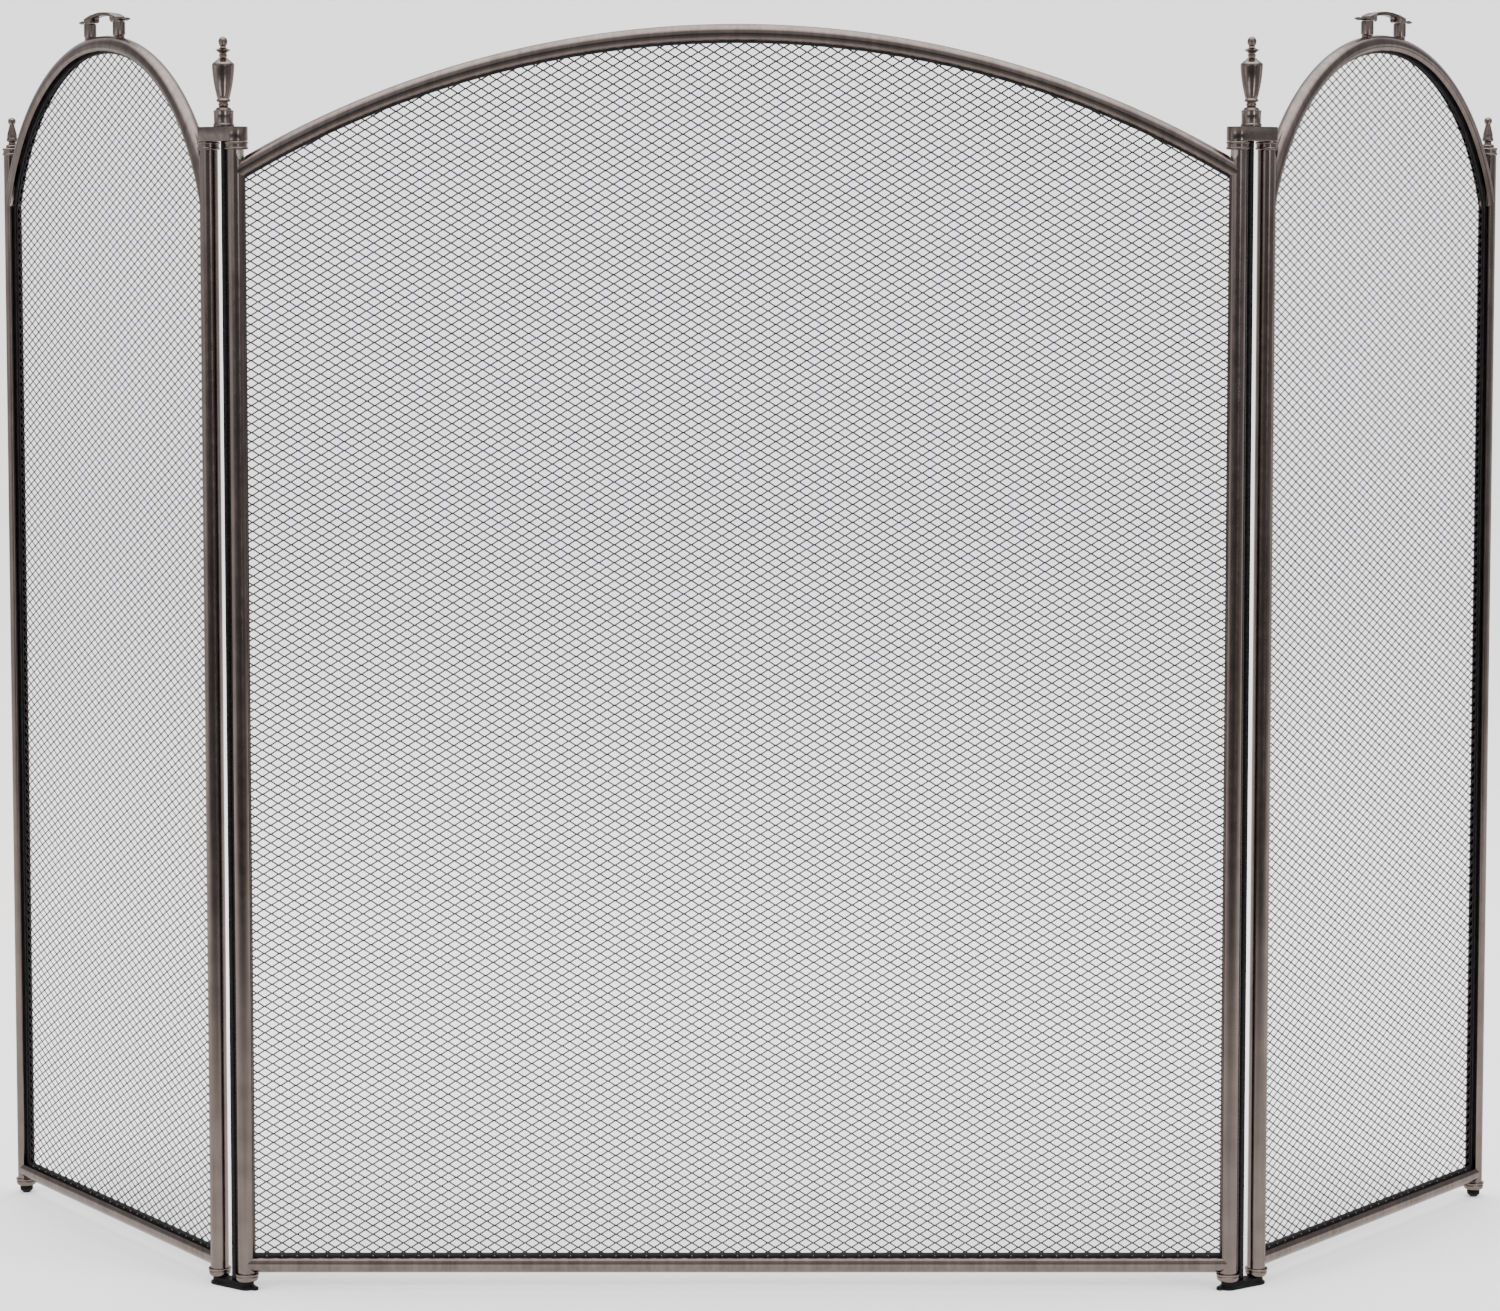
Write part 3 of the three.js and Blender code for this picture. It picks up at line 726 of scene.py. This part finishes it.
WING_FINIAL = [  # (radius, height) up from its seat
    (0, -3.6), (1.5, -3.6), (1.5, 0), (4.5, 0), (4.7, 0.4), (4.7, 1.4), (4.3, 2.1), (3.2, 2.5),
    (2.7, 3.0), (2.6, 4.0), (3.0, 4.5), (3.9, 4.9), (4.2, 5.5), (4.1, 6.4), (3.7, 7.4),
    (3.6, 8.4), (3.7, 9.2), (3.4, 10.6), (2.9, 12.6), (2.4, 14.6), (2.0, 16.2), (1.85, 17.0),
    (2.2, 17.6), (2.7, 18.4), (2.95, 19.5), (2.8, 20.6), (2.3, 21.5), (1.4, 22.2), (0, 22.5),
]


def eased_plate(outline, bottom, top, ease):
    """A level plate whose top and bottom edges are rounded over."""
    loops = []
    center = np.mean(outline, axis=0)
    spread = np.max(np.abs(outline - center), axis=0)
    for inset, z in (
        (ease, bottom),
        (ease * 0.3, bottom + ease * 0.3),
        (0, bottom + ease),
        (0, top - ease),
        (ease * 0.3, top - ease * 0.3),
        (ease, top),
    ):
        shrunk = center + (outline - center) * (1 - inset / spread)
        loops.append(np.column_stack([shrunk, np.full(len(outline), z)]))
    return rings(loops)


def link():
    """The cast link: round over the centre panel's post, square and eased over the wing's."""
    half, end, corner = 7.9, LINK_PITCH + 3.2, 0.9
    points = []
    for i in range(33):
        a = math.pi / 2 + math.pi * i / 32
        points.append((half * math.cos(a), half * math.sin(a)))
    for side, start in ((-1, -90), (1, 0)):
        for i in range(6):
            a = math.radians(start + 18 * i)
            across = side * (half - corner) + corner * math.sin(a)
            points.append((end - corner + corner * math.cos(a), across))
    return eased_plate(np.array(points), LINK_BOTTOM, LINK_TOP, LINK_EASE)


# ---- Lift handle -------------------------------------------------------------------------------

GRIP_R = 76.0  # of its bowed top
GRIP_HALF = 24.8  # half its length
PAD_START = 14.8  # where its pads begin, from the middle
PAD_BOTTOM = 873.2
GRIP_ROD_Z = 874.2
GRIP_HALF_WIDTH, PAD_EXTRA = 3.7, 0.45  # the band's, and how much wider each pad is
BAND_H = 2.9
PAD_EASE = 0.18  # how suddenly the band turns into a pad
END_EASE = 0.8  # the reach of the grip's rounded ends
CORD_PITCH, CORD_DEPTH = 2.3, 0.36
GRIP_SIDE = [  # half the section, as shares of its half width and height, up from the underside
    (0.0, 0.0), (0.45, 0.0), (0.8, 0.0), (0.93, 0.04), (1.0, 0.12), (1.0, 0.26), (1.0, 0.4),
    (1.0, 0.54), (1.0, 0.64), (0.9, 0.7), (0.9, 0.74), (1.0, 0.8), (1.0, 0.88), (0.9, 0.96),
    (0.7, 1.0), (0.35, 1.02),
]


def grip():
    """The bowed grip: a thin band between two corded pads, with a rod out of each pad's end."""
    center_z = GRIP_TOP - GRIP_R
    right = np.array(GRIP_SIDE)
    half_section = np.concatenate([right, [(0.0, 1.02)], right[:0:-1] * (-1, 1)])
    angle = np.arctan2(half_section[:, 1] - 0.5, half_section[:, 0])
    loops = []
    for x in np.linspace(-GRIP_HALF, GRIP_HALF, 187):
        far = abs(x)
        pad = 1 / (1 + math.exp(-(far - PAD_START) / PAD_EASE))
        end = math.sqrt(max(0.0, 1 - max(0.0, (far - GRIP_HALF + END_EASE) / END_EASE) ** 2))
        top = center_z + math.sqrt(GRIP_R**2 - x**2)
        band = center_z + math.sqrt((GRIP_R - BAND_H) ** 2 - x**2)
        low = band * (1 - pad) + PAD_BOTTOM * pad
        half = GRIP_HALF_WIDTH + PAD_EXTRA * pad
        twist = np.sin(2 * math.pi * x / CORD_PITCH + 2 * angle)
        cord = CORD_DEPTH * pad * end * twist * (half_section[:, 1] > 0.02)
        width = (half - 0.3 + cord) * (0.9 + 0.1 * end)
        height = (top - low - 0.3 + cord * (half_section[:, 1] > 0.9)) * (0.94 + 0.06 * end)
        z = low + 0.15 + half_section[:, 1] * height
        loops.append(np.stack([np.full(len(z), x), half_section[:, 0] * width, z], 1))
    parts = [rings(loops)]
    profile = [(0, 9.8), (1.1, 10.3), (1.35, 11.3), (1.1, 12.3), (0.8, 12.9), (0.85, 14.0)]
    profile += [(0.85, 30.0), (1.0, 31.5), (1.3, 33.5), (1.25, 35.0), (0.9, 37.0)]
    profile += [(0.5, 38.8), (0, 39.5)]
    verts, faces = lathe(rounded(profile, 0.3, 2), 20)
    for side in (-1, 1):
        turned = np.stack([side * verts[:, 2], side * verts[:, 1], GRIP_ROD_Z + verts[:, 0]], 1)
        parts.append((turned, faces))
    return join(*parts)


def leg(panel, x):
    """A round leg with a short, narrower neck at its foot, which follows the arch tube."""
    radius, neck_r, neck_h, height = 4.45, 3.9, 2.4, 12.0
    neck_top = 0.6  # above the tube's top line at the leg's middle
    profile = [(0, 0), (neck_r, 0), (neck_r, neck_h), (radius - 0.5, 2.7), (radius, 3.2)]
    profile += [(radius, height - 0.8), (radius - 0.35, height), (0, height)]
    verts, faces = lathe(profile, 48)
    y_all, x_all = verts[:, 1], verts[:, 0] + x
    across = np.sqrt(np.maximum((TUBE_R - 0.15) ** 2 - y_all**2, 0))
    tube = panel.center_z + np.sqrt((panel.radius + across) ** 2 - x_all**2)
    share = np.clip(verts[:, 2] / neck_h, 0, 1)  # 0 at the tube's surface, 1 from the neck up
    middle = panel.center_z + math.sqrt((panel.radius + TUBE_R) ** 2 - x**2)
    shoulder = middle + neck_top
    rise = (PAD_BOTTOM - GAP - shoulder) / (height - neck_h)
    upper = shoulder + (verts[:, 2] - neck_h) * rise
    z = np.where(verts[:, 2] < neck_h, tube * (1 - share) + shoulder * share, upper)
    return np.stack([x_all, y_all, z], 1), faces


# ---- The screen --------------------------------------------------------------------------------


def build_panel(prefix, panel, at, body, arch_steps, posts, reaches):
    """A panel's tubes, expanded metal and binding. posts lists (node, x, facing, notched)."""
    bow = arch(panel, arch_steps)
    piece(f"{prefix}_arch_tube", *bow, at, TUBE, body, "tube", [f"{prefix}_arch"])
    bar = rail(panel.span)
    piece(f"{prefix}_rail_tube", *bar, at, TUBE, body, "tube", [f"{prefix}_bottom_rail"])
    for node, x, facing, notched in posts:
        piece(f"{node}_tube", *post(x, facing, notched), at, TUBE, body, "tube", [node])
    made = expanded_metal(panel, MESH_INSET)
    stands_for = [f"{prefix}_mesh"]
    piece(f"{prefix}_expanded_mesh", *made, at, MESH, body, "mesh", stands_for, FLAT_SHARP)
    stands_for = [f"{prefix}_mesh_edging"]
    edge = binding(panel, BINDING_STEPS, reaches)
    piece(f"{prefix}_binding", *edge, at, BINDING, body, "black_steel", stands_for)
    beads = painted_glint_beads(panel, reaches[2] - BEAD_DROP)
    # painted highlights: the beads mark real black knots but get the light turned steel so that
    # they show as the knots' bright glints
    piece(f"{prefix}_knuckles", *beads, at, PIN, body, "black_steel", stands_for)


def build_center():
    """The centre panel with its four bushes."""
    body = "center_panel"
    half = CENTER_SPAN / 2
    posts = [("center_left_post", -half, 1, True), ("center_right_post", half, -1, True)]
    build_panel("center", CENTER_PANEL, CENTER_FRAME, body, CENTER_STEPS, posts, CENTER_REACHES)
    for side, x in (("left", -half), ("right", half)):
        top, bottom = f"center_{side}_top_bush", f"center_{side}_bottom_bush"
        for name, shape, material, node in (
            (f"{top}_turned", top_bush(CENTER_COLLAR_R), CAST, top),
            (f"{top}_spigot", spigot(), ZINC, top),
            (f"{bottom}_turned", bottom_bush(CENTER_COLLAR_R, PIN_BORE), CAST, bottom),
        ):
            made = moved(shape, x)
            piece(name, *made, CENTER_FRAME, material, body, "cast", [node], TURNED_SHARP)


def build_hinge(side, at):
    """A hinge's link, finial, tie rod and foot, about the centre panel's pivot."""
    body = f"{side}_link"
    name = f"{side}_hinge"
    node = f"{name}_link"
    piece(f"{node}_casting", *link(), at, CAST, body, "cast", [node], FLAT_SHARP)
    node = f"{name}_finial"
    shape = moved(lathe(HINGE_FINIAL, 72), ROD_X, 0, FINIAL_Z)
    piece(f"{node}_turned", *shape, at, CAST, body, "cast", [node], TURNED_SHARP)
    rod_r, rod_low, rod_top = 2.15, 1.7, LINK_BOTTOM + 8
    rod = lathe(rounded([(0, rod_low), (rod_r, rod_low), (rod_r, rod_top), (0, rod_top)], 0.4), 32)
    piece(f"{name}_rod", *moved(rod, ROD_X), at, ROD, body, "black_steel", [f"{name}_tie_rod"])
    piece(f"{name}_foot_moulding", *foot(), at, PLASTIC, body, "plastic", [f"{name}_foot"])


def build_wing(side, at):
    """A wing with its bushes, cap, small finial, glide and lift handle."""
    body = f"{side}_wing"
    name = f"{side}_wing"
    half = WING_SPAN / 2
    posts = [(f"{name}_inner_post", -half, 1, True), (f"{name}_outer_post", half, -1, False)]
    build_panel(name, WING_PANEL, at, body, WING_STEPS, posts, WING_REACHES)
    small_finial = lathe(rounded(WING_FINIAL, 0.15, 2), 48)
    turned = [
        ("inner_top_bush", top_bush(WING_COLLAR_R), -half, 0, CAST, "cast"),
        ("inner_top_bush", spigot(), -half, 0, ZINC, "cast"),
        ("inner_bottom_bush", bottom_bush(WING_COLLAR_R, PIN_BORE), -half, 0, CAST, "cast"),
        ("outer_top_cap", top_cap(OUTER_CAP_R), half, 0, CAST, "cast"),
        ("outer_bottom_bush", bottom_bush(OUTER_BUSH_R, GLIDE_BORE), half, 0, CAST, "cast"),
        ("finial", small_finial, half, POST_TOP + COLLAR_H + 2 * GAP, CAST, "cast"),
        ("glide", glide(), half, 0, PLASTIC, "plastic"),
        ("handle_inner_leg", leg(WING_PANEL, -LEG_SPACING / 2), 0, 0, CAST, "cast"),
        ("handle_outer_leg", leg(WING_PANEL, LEG_SPACING / 2), 0, 0, CAST, "cast"),
        ("handle_grip", grip(), 0, 0, CAST, "cast"),
    ]
    for node, shape, x, z, material, slot in turned:
        made = moved(shape, x, 0, z)
        title = f"{name}_{node}_spigot" if material is ZINC else f"{name}_{node}_made"
        piece(title, *made, at, material, body, slot, [f"{name}_{node}"], TURNED_SHARP)


build_center()
for side_name, (link_frame, wing_frame) in SIDES.items():
    build_hinge(side_name, link_frame)
    build_wing(side_name, wing_frame)

for node_name, node_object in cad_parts.items():
    if node_name.endswith("_pin"):
        node_object.data.materials.clear()
        node_object.data.materials.append(PIN)

# ---- Studio, in metres -------------------------------------------------------------------------

SHEET_HALF_WIDTH = 12.0
FLOOR_FRONT, FLOOR_BACK = -9.0, 9.0
BACKDROP_BEND, BACKDROP_HEIGHT = 2.5, 9.0
LIGHTS = (  # name, location, target, size and power in watts
    ("left_light", (-3.4, -2.6, 2.6), (0, 0, 0.4), (1.2, 2.0), 85),
    ("right_light", (3.6, -2.3, 2.6), (0, 0, 0.4), (1.2, 2.0), 85),
    ("top_light", (0, 0.2, 3.0), (0, 0.3, 0), (3.0, 2.4), 60),
)
SURROUND = (2.05, 2.05, 2.07, 1.0)  # what the camera sees and what lights the scene
OVERHEAD = (3.2, 3.2, 3.2, 1.0)
EYE_X, EYE_Y, EYE_Z = 8.6, -2500.0, 736.5  # millimetres, x and y from the centre panel's middle
CAMERA_TILT = 4.015  # degrees down
LENS = 88.74
SHIFT_Y = -0.12


def sheet(name, profile, half_width=SHEET_HALF_WIDTH):
    """A wide sheet along a (y, z) profile, which the metal doesn't mirror."""
    verts, faces = [], []
    for y, z in profile:
        verts += [(-half_width, y, z), (half_width, y, z)]
    for i in range(len(profile) - 1):
        faces.append((2 * i, 2 * i + 1, 2 * i + 3, 2 * i + 2))
    mesh = bpy.data.meshes.new(name)
    mesh.from_pydata(verts, [], faces)
    mesh.shade_smooth()
    n = Nodes(name)
    n.shader.inputs["Specular IOR Level"].default_value = 0.1
    mesh.materials.append(n.material)
    obj = bpy.data.objects.new(name, mesh)
    obj.visible_glossy = False
    bpy.context.scene.collection.objects.link(obj)
    return obj, n


def floor():
    """A pale floor that curves up behind the screen into a backdrop."""
    bend, start = BACKDROP_BEND, FLOOR_BACK - BACKDROP_BEND
    profile = [(FLOOR_FRONT, 0.0), (start, 0.0)]
    for i in range(1, 17):
        a = math.pi / 2 * i / 16
        profile.append((start + bend * math.sin(a), bend - bend * math.cos(a)))
    profile.append((FLOOR_BACK, BACKDROP_HEIGHT))
    _, n = sheet("studio_floor", profile)
    n.finish(Base_Color=(0.94, 0.925, 0.945, 1.0), Roughness=0.9)


def mirrored_floor():
    """What the metal mirrors in place of the floor: a softer glow, which fades to the front."""
    obj, n = sheet("mirrored_floor", [(-1.35, -0.002), (2.5, -0.002)], 3.0)
    depth = n.add("ShaderNodeSeparateXYZ", Vector=n.coords).outputs["Y"]
    n.finish(
        Base_Color=(0.0, 0.0, 0.0, 1.0),
        Emission_Color=(1.0, 0.98, 0.96, 1.0),
        Emission_Strength=n.range(depth, 0.4, 1.15, -1.2, -0.25),
    )
    obj.visible_glossy = True
    obj.visible_camera = obj.visible_diffuse = False
    obj.visible_shadow = obj.visible_transmission = False


def softbox(name, location, target, size, power):
    """A large soft light, which the metal doesn't mirror."""
    light = bpy.data.lights.new(name, "AREA")
    light.shape = "RECTANGLE"
    light.size, light.size_y = size
    light.energy = power
    obj = bpy.data.objects.new(name, light)
    obj.location = location
    direction = Vector(target) - Vector(location)
    obj.rotation_euler = direction.to_track_quat("-Z", "Y").to_euler()
    obj.visible_glossy = False
    bpy.context.scene.collection.objects.link(obj)


class RoomNodes(Nodes):
    """The same short way to write the world's node tree."""

    def __init__(self, world):
        world.use_nodes = True
        self.tree = world.node_tree
        self.background = self.tree.nodes["Background"]

    def compute(self, operation, *values):
        """The result of a Math node."""
        node = self.add("ShaderNodeMath")
        node.operation = operation
        for socket, value in zip(node.inputs, values):
            self.set(socket, value)
        return node.outputs[0]

    def around(self, azimuth, *stops):
        """A near-white whose brightness goes by azimuth: 0 degrees is the front, 90 the right."""
        return self.ramp(azimuth, *[(0.5 + a / 360, (v, v, v * 1.02)) for a, v in stops])


def room():
    """An even pale surround, and what the metal mirrors: a dim front between bright sides.

    By height, the mirrored surround is plain just below the horizon, has bright strips just above
    it and well below, is softer from there up, and is brightest overhead.
    """
    world = bpy.data.worlds.new("studio")
    bpy.context.scene.world = world
    n = RoomNodes(world)
    coords = n.add("ShaderNodeTexCoord").outputs["Generated"]
    direction = n.add("ShaderNodeSeparateXYZ", Vector=coords)
    x, y, z = (direction.outputs[k] for k in "XYZ")
    turn = n.compute("ARCTAN2", x, n.compute("MULTIPLY", y, -1.0))
    azimuth = n.compute("ADD", n.compute("DIVIDE", turn, 2 * math.pi), 0.5)
    low = n.around(
        azimuth, (-180, 0.95), (-130, 0.85), (-112, 0.5), (-102, 0.85), (-76, 0.95), (-50, 0.2),
        (-36, 0.12), (0, 0.11), (40, 0.13), (60, 0.3), (88, 0.34), (94, 1.0), (110, 1.0),
        (116, 0.4), (130, 0.85), (180, 0.95),
    )
    high = n.around(
        azimuth, (-180, 0.95), (-130, 0.9), (-118, 0.45), (-102, 0.5), (-96, 0.72), (-56, 0.66),
        (-52, 1.7), (-30, 1.7), (-22, 0.3), (0, 0.28), (20, 0.28), (23, 3.4), (33, 3.4), (37, 0.5),
        (64, 0.5), (70, 0.3), (114, 0.3), (128, 0.9), (180, 0.95),
    )
    rising = n.range(z, 0.0, 1.0, 0.008, 0.02)
    sinking = n.range(z, 1.0, 0.0, -0.26, -0.2)
    striped = n.compute("MAXIMUM", rising, sinking)
    raised = n.around(
        azimuth, (-180, 0.9), (-132, 0.8), (-120, 0.32), (-94, 0.32), (-60, 0.6), (0, 0.5),
        (60, 0.6), (94, 0.32), (120, 0.32), (132, 0.8), (180, 0.9),
    )
    lifted = n.range(z, 0.0, 1.0, 0.045, 0.22)
    sky = n.mix(lifted, n.mix(striped, low, high), raised)
    overhead = n.range(z, 0.0, 1.0, 0.6, 0.92)
    mirrored = n.mix(overhead, sky, OVERHEAD)
    glossy = n.add("ShaderNodeLightPath").outputs["Is Glossy Ray"]
    n.set(n.background.inputs["Color"], n.mix(glossy, SURROUND, mirrored))


def studio():
    """The floor, the surround and three soft lights."""
    floor()
    mirrored_floor()
    room()
    for light in LIGHTS:
        softbox(*light)


def camera():
    """The camera at the photograph's angle: straight in front and tilted slightly down."""
    data = bpy.data.cameras.new("photo_camera")
    data.sensor_width = 36.0
    data.sensor_fit = "HORIZONTAL"
    data.lens = LENS
    data.shift_y = SHIFT_Y
    data.clip_end = 50.0
    obj = bpy.data.objects.new("photo_camera", data)
    obj.location = ((CENTER_X + EYE_X) * MM, (CENTER_Y + EYE_Y) * MM, EYE_Z * MM)
    obj.rotation_euler = (math.radians(90 - CAMERA_TILT), 0, 0)
    bpy.context.scene.collection.objects.link(obj)
    bpy.context.scene.camera = obj


studio()
camera()
